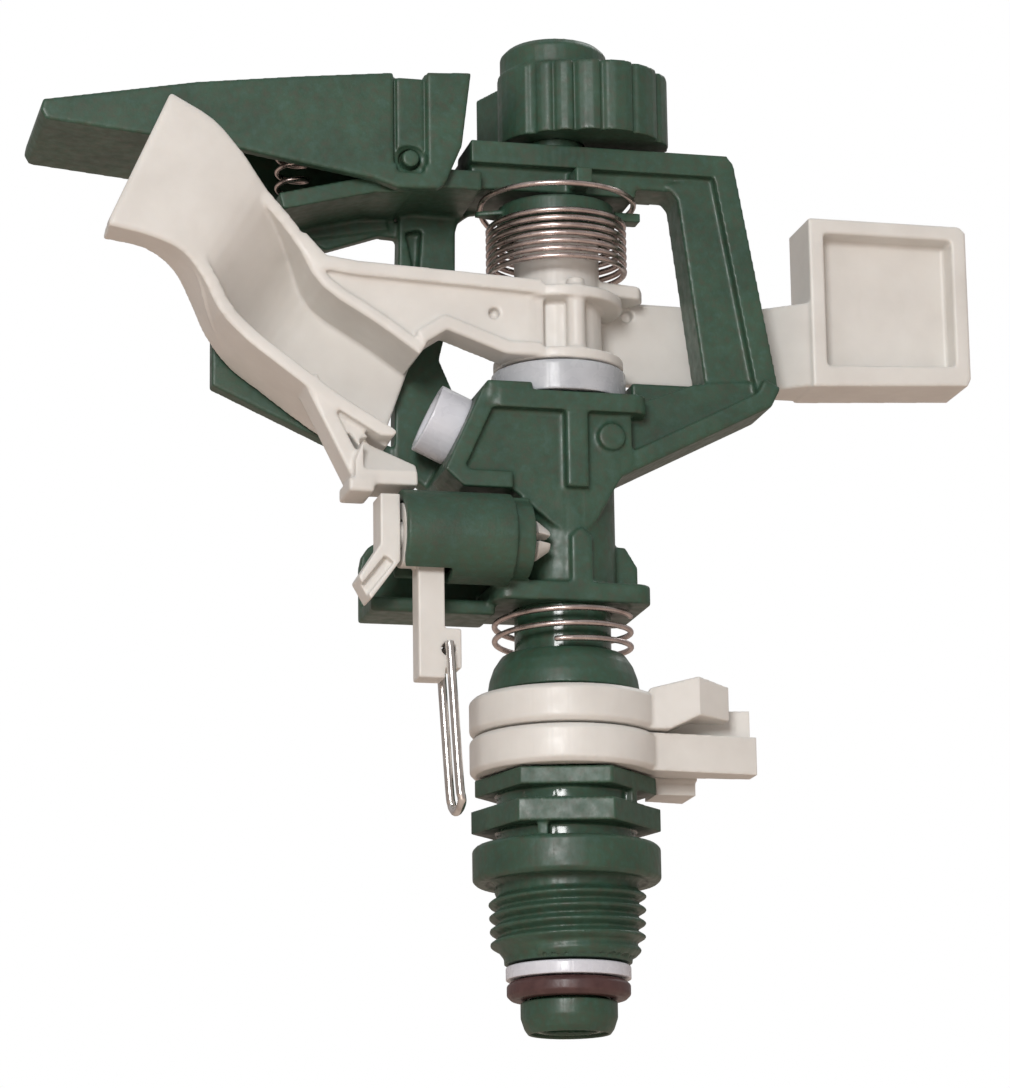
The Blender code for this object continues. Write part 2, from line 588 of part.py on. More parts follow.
def spoon_sheet():
    """A ruled sheet lofted through the stations and thickened backwards."""
    rows = smooth_path([(*low, *high, y) for low, high, y in SPOON_STATIONS], 3)
    mesh = bpy.data.meshes.new("spoon_sheet")
    bm = bmesh.new()
    lines = []
    across = 3
    for lx, lz, hx, hz, y in rows:
        reach = (Vector((lx, lz)) - Vector((hx, hz))).normalized() * LOWER_REACH
        lx += reach.x
        lz += reach.y
        line = []
        for k in range(across + 1):
            t = k / across
            line.append(bm.verts.new(((lx + (hx - lx) * t) * MM, y * MM, (lz + (hz - lz) * t) * MM)))
        lines.append(line)
    for one, two in zip(lines, lines[1:]):
        for k in range(across):
            bm.faces.new((one[k], two[k], two[k + 1], one[k + 1]))
    bmesh.ops.triangulate(bm, faces=bm.faces)
    bm.to_mesh(mesh)
    bm.free()
    sheet = place("spoon_sheet", mesh)
    shell = sheet.modifiers.new("thickness", "SOLIDIFY")
    shell.thickness = SHEET * MM
    shell.offset = -1.0
    return to_mesh(sheet)


def flange(name, rows, left, right):
    """A strip that follows an edge line in XZ, reaching left and right of it. A row is (x, z, front y, back y)."""
    rows = smooth_path(rows, 3)
    bm = bmesh.new()
    rings = []
    for i, row in enumerate(rows):
        before = rows[max(i - 1, 0)]
        after = rows[min(i + 1, len(rows) - 1)]
        along = Vector((after[0] - before[0], after[1] - before[1])).normalized()
        side = Vector((-along.y, along.x))
        x, z, front, back = row
        corners = ((left, front), (left, back), (-right, back), (-right, front))
        ring = [bm.verts.new(((x + k * side.x) * MM, y * MM, (z + k * side.y) * MM)) for k, y in corners]
        rings.append(ring)
    for one, two in zip(rings, rings[1:]):
        for k in range(4):
            bm.faces.new((one[k], one[k - 1], two[k - 1], two[k]))
    bm.faces.new(rings[0])
    bm.faces.new(rings[-1][::-1])
    bmesh.ops.recalc_face_normals(bm, faces=bm.faces)
    bmesh.ops.triangulate(bm, faces=bm.faces)
    mesh = bpy.data.meshes.new(name)
    bm.to_mesh(mesh)
    bm.free()
    return place(name, mesh)


def arm():
    hub = [(0.0, 94.0), (HUB_R, 94.0), (HUB_R, 81.6), (HUB_FLANGE_R, 81.6), (HUB_FLANGE_R, 79.9)]
    hub += [(HUB_R + 0.2, 79.9), (HUB_R + 0.2, 72.7), (HUB_FLANGE_R, 72.7), (HUB_FLANGE_R, ARM_BOTTOM_Z)]
    hub += [(0.0, ARM_BOTTOM_Z)]
    piece = turned("arm", hub, CREAM, closed=False)
    lower_rows = [(*low, *depths) for (low, high, y), depths in zip(SPOON_STATIONS, LOWER_FLANGE_Y)]
    upper_rows = [(*high, *depths) for (low, high, y), depths in zip(SPOON_STATIONS[2:], UPPER_FLANGE_Y)]
    end_low, end_high, end_y = SPOON_STATIONS[0]
    pieces = [
        spoon_sheet(),
        flange("spoon_end_lip", [(*end_high, end_y + 0.3, -9.4), (*end_low, end_y + 0.3, -8.0)], 0.8, 0.2),
        flange("lower_flange", lower_rows, SHEET / 2, SHEET / 2),
        flange("upper_flange", upper_rows, 0.15, SHEET - 0.3),
    ]
    web = [(-37.2, 85.2), (-33.9, 82.1), (-8.0, 80.8), (-3.6, 80.8), (-3.6, 71.6), (-8.0, 71.6), (-17.2, 75.2)]
    web += [(-19.9, 72.2), (-33.6, 80.4)]
    pieces.append(plate("bridge_web", web, -6.9, -5.0))
    top_edge = [(-37.7, 86.3), (-34.6, 83.0), (-30.0, 82.4), (-4.0, 81.2)]
    pieces.append(plate("bridge_top_rim", band(top_edge, 2.0), -8.2, -2.4))
    zigzag = [(-21.2, 73.0), (-17.6, 75.4), (-9.0, 72.3), (-4.2, 72.3)]
    pieces.append(plate("bridge_low_rim", band(zigzag, 2.0), -8.3, -2.6))
    pieces.append(rod("hub_rib", (0.8, -7.2, 71.0), (0.8, -7.2, 82.8), 1.3, segments=16))
    pieces.append(box("rib_root", (-0.2, -7.1, 71.3), (1.8, -4.0, 81.0)))
    left_lug = [(-11.6, 0.4), (-3.5, -2.6), (-3.5, 4.4), (-9.6, 4.4)]
    pieces.append(plate("left_lug", left_lug, 82.4, 84.2, plane="XY"))
    right_lug = [(3.5, -3.2), (11.6, -1.2), (12.6, 1.2), (11.0, 3.1), (3.5, 3.1)]
    pieces.append(plate("right_lug", right_lug, 82.2, 84.2, plane="XY"))
    right = [(0.0, 71.2), (34.0, 71.2), (34.0, 82.9), (0.0, 83.3)]
    pieces.append(plate("right_web", right, 3.4, 5.4))
    wedge = [(29.4, 3.6), (36.8, -1.8), (38.4, -1.8), (38.4, 7.2), (29.4, 7.2)]
    pieces.append(plate("weight_neck", wedge, 71.0, 83.2, plane="XY"))
    weight = [(36.4, 70.8), (59.3, 72.0), (59.8, 73.0), (59.8, 94.7), (58.9, 95.6), (36.4, 95.6)]
    pieces.append(plate("counterweight", weight, -2.0, 7.5))
    leg = [(-36.6, 66.4), (-29.9, 53.0)]
    pieces.append(plate("tail_leg", band(leg, 2.2), -9.2, -3.3))
    pieces.append(plate("tail_web", [(-36.4, 66.2), (-29.4, 52.9), (-24.0, 52.9), (-33.4, 64.0)], -5.6, -3.8))
    pieces.append(plate("tail_brace", band([(-34.8, 65.2), (-26.0, 54.2)], 1.8), -8.0, -3.6))
    foot = [(-30.7, 51.6), (-22.1, 51.6), (-22.3, 54.7), (-28.0, 58.1), (-29.6, 57.6), (-30.7, 55.0)]
    pieces.append(plate("foot", foot, -10.4, -3.0))
    pieces.append(box("foot_slab", (-31.6, -10.6, 50.5), (-28.1, -3.2, 52.4)))
    join(piece, *pieces)
    recess = [(38.6, 74.0), (57.6, 74.8), (57.6, 93.4), (38.6, 93.4)]
    slope = [(-12.0, 53.6), (-10.3, 53.6), (-6.0, 58.6), (-12.0, 58.6)]
    holes = [
        plate("weight_recess", recess, -3.0, 1.6),
        plate("foot_slope", slope, -29.6, -21.0, plane="YZ"),
        rod("arm_bore", (0, 0, 69.0), (0, 0, 98.0), ARM_BORE_R, segments=28),
        rod("left_hole", (-10.6, -9.0, 77.4), (-10.6, -5.5, 77.4), 0.8, segments=16),
        rod("right_hole", (11.0, 2.0, 81.2), (11.0, 4.9, 81.2), 0.9, segments=16),
    ]
    return cut(piece, *holes)


def arm_washer():
    top = ARM_BOTTOM_Z - GAP
    outline = [(PIN_R + GAP, 78.0), (ARM_BORE_R - GAP, 78.0), (ARM_BORE_R - GAP, top), (WASHER_RING_R - 0.2, top)]
    outline += [(WASHER_RING_R, top - 0.2), (WASHER_RING_R, BODY_TOP_Z + GAP), (PIN_R + GAP, BODY_TOP_Z + GAP)]
    return turned("arm_washer", outline, WHITE)


def arm_spring():
    """Close turns over the hub's sleeve, then a climb at the back to one wider turn under the beam."""
    start = math.radians(95)
    per_turn = 10
    points = coil_points(ARM_SPRING_R, *ARM_SPRING_Z, 7, per_turn=per_turn, start=start)
    climb = 3
    for i in range(1, per_turn + climb):
        t = min(1.0, i / climb)
        angle = start + 2 * math.pi * i / per_turn
        radius = ARM_SPRING_R + (ARM_SPRING_TOP_R - ARM_SPRING_R) * t
        height = ARM_SPRING_Z[1] + (ARM_SPRING_TOP_Z - ARM_SPRING_Z[1]) * t
        if i < per_turn + climb - 2:
            points.append((radius * math.cos(angle), radius * math.sin(angle), height))
    return wire("arm_spring", points, ARM_WIRE_R, SPRING)


def spring_anchor():
    """A ring over the hub's sleeve that holds the spring's upper end, with a tab on each side."""
    outline = [(6.4, 94.7), (8.2, 94.7), (8.2, 90.6), (7.6, 90.0), (6.4, 90.0)]
    ring = turned("spring_anchor", outline, GREEN)
    right_tab = plate("anchor_right_tab", [(7.0, -2.0), (11.7, -2.0), (11.7, 0.6), (7.0, 0.6)], 93.3, 94.6, plane="XY")
    left_tab = plate("anchor_left_tab", [(-7.0, -2.6), (-11.4, -0.8), (-11.6, 0.2), (-7.0, 1.6)], 93.2, 93.9, plane="XY")
    return join(ring, right_tab, left_tab)


# ---------------------------------------------------------------- trip mechanism
def trip_parts():
    x0 = BARREL_X[0]
    y = BARREL_Y
    z = BARREL_Z
    hammer = plate(
        "trip_hammer",
        [(-27.6, 50.1), (-24.9, 50.1), (-24.9, 41.0), (-28.9, 35.6), (-30.6, 38.6), (-27.6, 43.2)],
        y - 2.6,
        y + 2.6,
        CREAM,
    )
    shaft = rod("hammer_shaft", (-25.4, y, z), (-5.2, y, z), 1.9, segments=20)
    prong_cone = rod("hammer_prong", (-6.1, y, z), (-4.0, y, z), 2.9, segments=20, end_radius=1.4)
    neck = rod("prong_neck", (-8.0, y, z), (-6.0, y, z), 2.3, segments=20)
    join(hammer, shaft, neck, prong_cone)
    fork = plate("fork_slot", band([(-31.6, 34.6), (-26.4, 41.2)], 1.5), y - 3.4, y - 1.3)
    slit = box("prong_slit", (-7.6, y - 4.0, z - 0.5), (-3.0, y + 4.0, z + 0.5))
    cut(hammer, fork, slit)
    lever = rod("trip_lever", (x0 + 0.1, y, z), (-18.8, y, z), BARREL_BORE_R - GAP, CREAM, 28)
    leg = box("lever_leg", (-22.45, y - 2.0, 25.4), (-18.85, y + 2.0, z - 1.0))
    block = box("wire_block", (-19.8, y - 2.0, 26.8), (-16.6, y + 2.0, 32.2))
    join(lever, leg, block)
    cut(
        lever,
        rod("lever_bore", (-26.0, y, z), (-17.0, y, z), 1.9 + GAP, segments=20),
        rod("wire_hole", (WIRE_X, y - 4.0, 29.4), (WIRE_X, y + 4.0, 29.4), 0.95, segments=16),
    )
    turns = coil_points(3.2, -18.4, -9.4, 5, per_turn=8)
    spring = wire("trip_spring", [(h, y + u, z + v) for u, v, h in turns], 0.3, SPRING)
    return hammer, lever, spring


def trip_wire():
    """A closed-ended bail: through the block, down both sides and joined by a bend at the foot."""
    y = BARREL_Y
    top = 29.4
    foot = 8.0
    half = 3.0
    x = WIRE_X
    bend = [(x + 1.4, y + half * math.sin(a), foot + 1.4 - half * 0.47 * math.cos(a)) for a in (-1.1, -0.5, 0.0, 0.5, 1.1)]
    points = [(x, y + 1.4, top), (x, y - half + 0.8, top), (x, y - half, top - 0.8)]
    points += [(x + 1.0, y - half, 12.0), (x + 1.3, y - half, foot + 1.4), *bend]
    points += [(x + 1.3, y + half, foot + 1.4), (x + 1.0, y + half, 12.0), (x, y + half, top - 0.8)]
    points += [(x, y + half - 0.5, top - 0.3)]
    return wire("trip_wire", points, 0.6, NICKEL)


# ---------------------------------------------------------------- cam knob
def cam_radius(angle):
    """Radius of the snail cam at an angle in degrees, anticlockwise from +X, without its flutes."""
    spots = ((-124, 7.9), (-104, 8.2), (-84, 8.9), (-64, 10.9), (-49, 12.9), (-14, 16.0), (10, 16.3), (105, 16.3))
    spots += ((125, 16.1), (139, 9.0), (146, 7.9), (236, 7.9))
    for (a, ra), (b, rb) in zip(spots, spots[1:]):
        if a <= angle <= b:
            t = (angle - a) / (b - a)
            return ra + (rb - ra) * t
    raise ValueError(angle)


def cam_knob():
    """A snail cam with convex lobes over two thirds of its edge, flush with its round boss on the left."""
    lobe = 20
    profile = ((0.0, -0.75), (0.12, -0.15), (0.35, 0.0), (0.65, 0.0), (0.88, -0.15))
    spots = [(-124 + lobe * (i + share), dip) for i in range(12) for share, dip in profile]
    spots += [(angle, 0.0) for angle in range(118, 236, 12)]
    outline = []
    for angle, dip in spots:
        radius = cam_radius(angle) + dip
        outline.append((radius * math.cos(math.radians(angle)), radius * math.sin(math.radians(angle))))
    knob = plate("cam_knob", outline, *CAM_Z, GREEN, plane="XY")
    profile = [(0.0, KNOB_TOP_Z), (KNOB_R - 0.9, KNOB_TOP_Z), (KNOB_R, KNOB_TOP_Z - 0.9), (KNOB_R, CAM_Z[0] + 0.4)]
    profile += [(0.0, CAM_Z[0] + 0.4)]
    boss = to_mesh(turned("knob_boss", profile, closed=False))
    socket = rod("knob_socket", (0, 0, CAM_Z[0] - 1), (0, 0, KNOB_POST_TOP_Z + GAP), KNOB_POST_R + GAP, segments=24)
    join(knob, boss)
    return cut(knob, socket)


# ---------------------------------------------------------------- jet deflector
def deflector_flap():
    outline = [(-72.8, 103.4), (-73.1, 101.8), (-72.4, 100.6), (-46.2, 98.1), (-27.6, 95.1), (-24.4, 94.0)]
    outline += [(-18.6, 94.2), (-17.6, 95.0), (-15.2, 100.6), (-13.8, 111.3), (-24.4, 110.6), (-38.0, 109.1)]
    outline += [(-52.0, 107.3)]
    flap = plate("deflector_flap", outline, *FLAP_Y, GREEN)
    inner = [(-55.0, 90.0), (-55.0, 104.9), (-52.0, 105.4), (-38.0, 107.3), (-25.0, 108.8), (-16.4, 109.4)]
    inner += [(-17.0, 101.0), (-12.0, 100.4), (-12.0, 90.0)]
    cavity = plate("flap_cavity", inner, FLAP_Y[0] + FLAP_WALL, FLAP_Y[1] - FLAP_WALL)
    groove = box("flap_groove", (-24.6, FLAP_Y[0] - 1.0, HINGE_Z), (-20.2, FLAP_Y[0] + 0.6, 112.0))
    groove_back = box("flap_groove_back", (-24.6, FLAP_Y[1] - 0.6, HINGE_Z), (-20.2, FLAP_Y[1] + 1.0, 112.0))
    notch = box("flap_top_notch", (-24.5, FLAP_Y[0] - 1.0, 110.1), (-20.3, FLAP_Y[1] + 1.0, 113.0))
    hole = rod("flap_hole", (HINGE_X, -12, HINGE_Z), (HINGE_X, 14, HINGE_Z), PEG_R + GAP, segments=20)
    return cut(flap, cavity, groove, groove_back, notch, hole)


def flap_spring():
    points = coil_points(2.1, 95.1, 106.4, 5, per_turn=8, centre=(-37.2, 1.0))
    return wire("flap_spring", points, 0.35, SPRING)


def bearing_spring():
    start = math.radians(-110)
    points = coil_points(BEARING_SPRING_R, CAP_TOP_Z + 0.8, PLATE_Z[0] - 0.8, 2.25, per_turn=16, start=start)
    return wire("bearing_spring", points, BEARING_WIRE_R, SPRING)


bearing_nipple()
bearing_cap()
upper_collar()
lower_collar()
stem()
thrust_washers()
bearing_spring()
body_frame()
nozzle()
flow_vane()
fulcrum_pin()
arm()
arm_washer()
arm_spring()
spring_anchor()
trip_parts()
trip_wire()
cam_knob()
deflector_flap()
flap_spring()
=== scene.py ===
"""Looks of the impact sprinkler: moulded green and cream plastic, nylon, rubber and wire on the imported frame.

Shapes are written in millimetres, in the frame of the CAD model, and scaled to metres where meshes are made.
"""

import json
import math

import bmesh
import bpy
from mathutils import Matrix, Vector

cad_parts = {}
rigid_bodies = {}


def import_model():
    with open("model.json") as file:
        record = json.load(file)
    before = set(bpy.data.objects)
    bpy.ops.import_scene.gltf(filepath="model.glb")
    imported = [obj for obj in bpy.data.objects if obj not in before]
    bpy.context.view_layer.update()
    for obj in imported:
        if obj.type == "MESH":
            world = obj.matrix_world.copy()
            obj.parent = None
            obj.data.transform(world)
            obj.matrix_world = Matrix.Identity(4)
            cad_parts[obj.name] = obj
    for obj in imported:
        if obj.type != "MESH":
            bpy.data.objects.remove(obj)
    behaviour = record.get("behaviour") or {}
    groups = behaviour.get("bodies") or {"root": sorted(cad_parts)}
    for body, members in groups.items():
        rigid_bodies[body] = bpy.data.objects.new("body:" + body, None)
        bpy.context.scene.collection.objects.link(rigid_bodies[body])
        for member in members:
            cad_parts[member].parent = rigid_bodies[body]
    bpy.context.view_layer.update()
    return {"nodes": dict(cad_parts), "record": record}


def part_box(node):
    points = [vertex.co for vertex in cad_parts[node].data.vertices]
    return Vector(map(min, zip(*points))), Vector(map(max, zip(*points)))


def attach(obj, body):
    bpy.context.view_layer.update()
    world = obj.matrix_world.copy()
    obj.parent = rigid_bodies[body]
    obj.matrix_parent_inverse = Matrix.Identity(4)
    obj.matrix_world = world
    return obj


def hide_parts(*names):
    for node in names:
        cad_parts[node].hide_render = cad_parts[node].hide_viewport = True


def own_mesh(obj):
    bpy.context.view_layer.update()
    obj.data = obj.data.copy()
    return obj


MM = 0.001

# Sizes in millimetres that the CAD model also uses
THREAD_PITCH = 1.814
THREAD_TOP_R = 10.65
THREAD_TAPER = 1.0 / 32.0
THREAD_DEPTH = 1.1
BARREL_Y = -9.0
BARREL_Z = 45.0
ARM_SPRING_R = 9.45
ARM_SPRING_Z = (84.9, 92.6)
ARM_SPRING_TOP_R = 10.9
ARM_SPRING_TOP_Z = 95.4
BEARING_SPRING_R = 9.3
WIRE_X = -18.4
WIRE_R = 0.4
HINGE_X = -22.4
HINGE_Z = 98.4
FLAP_SPRING = (-37.2, 1.0)
FLAP_SPRING_R = 2.1
EJECTOR_MARK = (48.2, 1.45, 84.2)
FLOOR_Z = -125.0

# Camera: place in millimetres, then azimuth, elevation and roll in degrees
CAMERA_PLACE = (-131.87, -516.34, -80.82)
CAMERA_ANGLES = (13.5, 13.5, 0.8)
CAMERA_LENS = 132.35

# Light
SKY_STRENGTH = 0.44
KEY_POWER = 5.5

# Linear colours of the green plastic's grain
GREEN_WARM = (0.042, 0.062, 0.040)
GREEN_MAIN = (0.030, 0.072, 0.045)
GREEN_COOL = (0.036, 0.084, 0.062)

for item in list(bpy.data.objects):
    bpy.data.objects.remove(item, do_unlink=True)

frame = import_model()
NODES = frame["nodes"]
SUBPART = {row["node"]: row for row in frame["record"]["subparts"]}
BODY_OF = {n: b for b, members in frame["record"]["behaviour"]["bodies"].items() for n in members}


# ---------------------------------------------------------------- camera, floor and light
def look(camera_place, azimuth, elevation, roll):
    """Camera matrix for a view azimuth degrees left of +Y and elevation degrees above the horizon."""
    a = math.radians(azimuth)
    e = math.radians(elevation)
    r = math.radians(roll)
    forward = Vector((math.sin(a) * math.cos(e), math.cos(a) * math.cos(e), math.sin(e)))
    right = Vector((math.cos(a), -math.sin(a), 0.0))
    up = right.cross(forward)
    right_rolled = right * math.cos(r) - up * math.sin(r)
    up_rolled = up * math.cos(r) + right * math.sin(r)
    turn = Matrix((right_rolled, up_rolled, -forward)).transposed().to_4x4()
    return Matrix.Translation(Vector(camera_place) * MM) @ turn


def camera():
    data = bpy.data.cameras.new("camera")
    data.sensor_width = 36.0
    data.lens = CAMERA_LENS
    data.clip_start = 0.01
    data.clip_end = 20.0
    made = bpy.data.objects.new("camera", data)
    bpy.context.scene.collection.objects.link(made)
    made.matrix_world = look(CAMERA_PLACE, *CAMERA_ANGLES)
    bpy.context.scene.camera = made


def area_light(name, place, target, size, power, colour=(1.0, 1.0, 1.0)):
    data = bpy.data.lights.new(name, "AREA")
    data.shape = "RECTANGLE"
    data.size = size[0]
    data.size_y = size[1]
    data.energy = power
    data.color = colour
    made = bpy.data.objects.new(name, data)
    bpy.context.scene.collection.objects.link(made)
    made.location = place
    made.rotation_mode = "QUATERNION"
    made.rotation_quaternion = (Vector(target) - Vector(place)).to_track_quat("-Z", "Y")
    return made


def studio_world():
    """White behind the object, a dimmer soft sky around it and a warmer one below it."""
    world = bpy.data.worlds.new("studio")
    world.use_nodes = True
    nodes = world.node_tree.nodes
    links = world.node_tree.links
    sky = nodes["Background"]
    sky.inputs["Strength"].default_value = SKY_STRENGTH
    direction = nodes.new("ShaderNodeTexCoord").outputs["Generated"]
    split = nodes.new("ShaderNodeSeparateXYZ")
    links.new(direction, split.inputs["Vector"])
    height = nodes.new("ShaderNodeMapRange")
    height.inputs["From Min"].default_value = -0.6
    height.inputs["From Max"].default_value = 0.7
    links.new(split.outputs["Z"], height.inputs["Value"])
    ramp = nodes.new("ShaderNodeValToRGB")
    ramp.color_ramp.elements[0].color = (0.62, 0.42, 0.34, 1.0)
    ramp.color_ramp.elements[1].color = (1.0, 1.0, 1.0, 1.0)
    links.new(height.outputs["Result"], ramp.inputs["Fac"])
    links.new(ramp.outputs["Color"], sky.inputs["Color"])
    behind = nodes.new("ShaderNodeBackground")
    behind.inputs["Color"].default_value = (1.0, 1.0, 1.0, 1.0)
    chooser = nodes.new("ShaderNodeMixShader")
    links.new(nodes.new("ShaderNodeLightPath").outputs["Is Camera Ray"], chooser.inputs["Fac"])
    links.new(sky.outputs["Background"], chooser.inputs[1])
    links.new(behind.outputs["Background"], chooser.inputs[2])
    links.new(chooser.outputs["Shader"], nodes["World Output"].inputs["Surface"])
    bpy.context.scene.world = world


def floor_and_light():
    mesh = bpy.data.meshes.new("floor")
    bm = bmesh.new()
    bmesh.ops.create_grid(bm, x_segments=2, y_segments=2, size=6.0)
    bmesh.ops.translate(bm, vec=(0.0, 0.0, FLOOR_Z * MM), verts=bm.verts)
    bm.to_mesh(mesh)
    bm.free()
    floor = bpy.data.objects.new("floor", mesh)
    bpy.context.scene.collection.objects.link(floor)
    pale = bpy.data.materials.new("pale_floor")
    pale.use_nodes = True
    shader = pale.node_tree.nodes["Principled BSDF"]
    shader.inputs["Base Color"].default_value = (0.80, 0.66, 0.57, 1.0)
    shader.inputs["Roughness"].default_value = 0.9
    mesh.materials.append(pale)
    studio_world()
    area_light("key", (-0.36, -0.86, 0.20), (0, 0, 0.05), (0.26, 0.26), KEY_POWER)
    area_light("rim", (0.55, 0.35, 0.75), (0, 0, 0.05), (0.5, 0.5), 2.0)
    bpy.context.scene.view_settings.view_transform = "Standard"


# ---------------------------------------------------------------- materials
class Graph:
    """Short calls for building a material's nodes."""

    def __init__(self, name):
        self.material = bpy.data.materials.new(name)
        self.material.use_nodes = True
        self.nodes = self.material.node_tree.nodes
        self.links = self.material.node_tree.links
        self.shader = self.nodes["Principled BSDF"]
        self.position = self.nodes.new("ShaderNodeTexCoord").outputs["Object"]

    def put(self, kind, values=None, **settings):
        node = self.nodes.new(kind)
        for key, value in settings.items():
            setattr(node, key, value)
        for socket, value in (values or {}).items():
            if isinstance(value, bpy.types.NodeSocket):
                self.links.new(value, node.inputs[socket])
            else:
                node.inputs[socket].default_value = value
        return node

    def noise(self, scale, detail=3.0, roughness=0.5, vector=None):
        values = {"Vector": vector or self.position, "Scale": scale, "Detail": detail, "Roughness": roughness}
        return self.put("ShaderNodeTexNoise", values).outputs["Fac"]

    def ramp(self, value, stops):
        node = self.put("ShaderNodeValToRGB", {"Fac": value})
        elements = node.color_ramp.elements
        while len(elements) < len(stops):
            elements.new(0.5)
        for element, (place, colour) in zip(elements, stops):
            element.position = place
            element.color = (*colour, 1.0) if not isinstance(colour, float) else (colour, colour, colour, 1.0)
        return node.outputs["Color"]

    def mix(self, factor, one, two, blend="MIX"):
        values = {"Factor": factor, "A": one, "B": two}
        node = self.put("ShaderNodeMix", values, data_type="RGBA", blend_type=blend)
        return node.outputs["Result"]

    def bump(self, layers):
        """Stacked bumps from (height, strength, distance in metres)."""
        normal = None
        for height, strength, distance in layers:
            values = {"Height": height, "Strength": strength, "Distance": distance}
            if normal is not None:
                values["Normal"] = normal
            normal = self.put("ShaderNodeBump", values).outputs["Normal"]
        self.links.new(normal, self.shader.inputs["Normal"])

    def set(self, socket, value):
        if isinstance(value, bpy.types.NodeSocket):
            self.links.new(value, self.shader.inputs[socket])
        else:
            self.shader.inputs[socket].default_value = value


def green_plastic(name, roughness=(0.36, 0.52), grain=0.25):
    g = Graph(name)
    speckle = g.noise(900.0, 3.0, 0.6)
    cloud = g.noise(130.0, 3.0, 0.55)
    fine = g.ramp(speckle, [(0.30, GREEN_WARM), (0.52, GREEN_MAIN), (0.72, GREEN_COOL)])
    broad = g.ramp(cloud, [(0.30, (0.80, 0.80, 0.80)), (0.70, (1.16, 1.14, 1.12))])
    g.set("Base Color", g.mix(1.0, fine, broad, "MULTIPLY"))
    g.set("Roughness", g.ramp(g.noise(700.0, 2.0), [(0.3, roughness[0]), (0.7, roughness[1])]))
    g.bump([(g.noise(2600.0, 2.0), grain, 0.00005), (g.noise(170.0, 2.0), 0.12, 0.0003)])
    return g.material


def cream_plastic():
    g = Graph("cream_moulded")
    cloud = g.noise(110.0, 4.0, 0.55)
    g.set("Base Color", g.ramp(cloud, [(0.3, (0.62, 0.60, 0.565)), (0.7, (0.70, 0.685, 0.65))]))
    g.set("Roughness", g.ramp(g.noise(600.0, 2.0), [(0.3, 0.36), (0.7, 0.48)]))
    g.set("Subsurface Weight", 0.10)
    g.set("Subsurface Radius", (0.0016, 0.0011, 0.0008))
    g.bump([(g.noise(2200.0, 2.0), 0.15, 0.00004), (g.noise(120.0, 2.0), 0.12, 0.0003)])
    return g.material


def white_nylon(name, dark, light):
    g = Graph(name)
    g.set("Base Color", g.ramp(g.noise(200.0, 3.0), [(0.3, dark), (0.7, light)]))
    g.set("Roughness", g.ramp(g.noise(500.0, 2.0), [(0.3, 0.22), (0.7, 0.34)]))
    g.set("Subsurface Weight", 0.3)
    g.set("Subsurface Radius", (0.002, 0.002, 0.0022))
    g.bump([(g.noise(900.0, 2.0), 0.1, 0.00006)])
    return g.material


def dark_rubber():
    g = Graph("dark_rubber_seal")
    stops = [(0.3, (0.052, 0.022, 0.022)), (0.7, (0.085, 0.040, 0.038))]
    g.set("Base Color", g.ramp(g.noise(500.0, 4.0), stops))
    g.set("Roughness", g.ramp(g.noise(900.0, 2.0), [(0.3, 0.36), (0.7, 0.5)]))
    g.bump([(g.noise(2500.0, 3.0), 0.3, 0.00006)])
    return g.material


def wire_metal(name, dark, light, roughness):
    g = Graph(name)
    g.set("Base Color", g.ramp(g.noise(600.0, 3.0), [(0.3, dark), (0.7, light)]))
    g.set("Metallic", 1.0)
    g.set("Roughness", g.ramp(g.noise(1500.0, 2.0), [(0.3, roughness), (0.7, roughness + 0.12)]))
    g.bump([(g.noise(4000.0, 2.0), 0.15, 0.00003)])
    return g.material


GREEN = green_plastic("green_moulded")
GREEN_SAND = green_plastic("green_sand_textured", (0.46, 0.62), 0.9)
GREEN_GLOSS = green_plastic("green_polished", (0.14, 0.24), 0.1)
CREAM = cream_plastic()
NYLON = white_nylon("white_nylon_moulded", (0.60, 0.61, 0.66), (0.70, 0.71, 0.76))
# The same white nylon darkened to grey: painted shade standing in for the shadow that the arm's flange casts on
# the washer ring.
NYLON_PAINTED_SHADE = white_nylon("nylon_painted_shade", (0.40, 0.42, 0.45), (0.50, 0.52, 0.55))
RUBBER = dark_rubber()
SPRING = wire_metal("spring_wire_drawn", (0.44, 0.36, 0.34), (0.64, 0.55, 0.52), 0.24)
NICKEL = wire_metal("nickel_wire_drawn", (0.55, 0.52, 0.49), (0.78, 0.76, 0.73), 0.16)
SLOT_MATERIAL = {
    "green_plastic": GREEN,
    "cream_plastic": CREAM,
    "white_nylon": NYLON,
    "dark_rubber": RUBBER,
    "spring_wire": SPRING,
    "nickel_wire": NICKEL,
}


# ---------------------------------------------------------------- moulded pieces
def put_in_scene(name, mesh):
    made = bpy.data.objects.new(name, mesh)
    bpy.context.scene.collection.objects.link(made)
    return made


def evaluated(item):
    """A plain mesh of the object with its modifiers applied. The object is removed."""
    bpy.context.view_layer.update()
    graph = bpy.context.evaluated_depsgraph_get()
    mesh = bpy.data.meshes.new_from_object(item.evaluated_get(graph))
    mesh.transform(item.matrix_world)
    bpy.data.objects.remove(item, do_unlink=True)
    return mesh


def slab(name, outline, near, far, plane="XZ"):
    """A solid from a flat outline in millimetres: XZ runs from near to far in Y, XY in Z."""
    bm = bmesh.new()
    rings = []
    for level in (near, far):
        if plane == "XZ":
            spots = [(u, level, v) for u, v in outline]
        else:
            spots = [(u, v, level) for u, v in outline]
        rings.append([bm.verts.new([c * MM for c in spot]) for spot in spots])
    bm.faces.new(rings[0])
    bm.faces.new(rings[1][::-1])
    count = len(outline)
    for k in range(count):
        bm.faces.new((rings[0][k], rings[0][(k + 1) % count], rings[1][(k + 1) % count], rings[1][k]))
    bmesh.ops.recalc_face_normals(bm, faces=bm.faces)
    mesh = bpy.data.meshes.new(name)
    bm.to_mesh(mesh)
    bm.free()
    return put_in_scene(name, mesh)


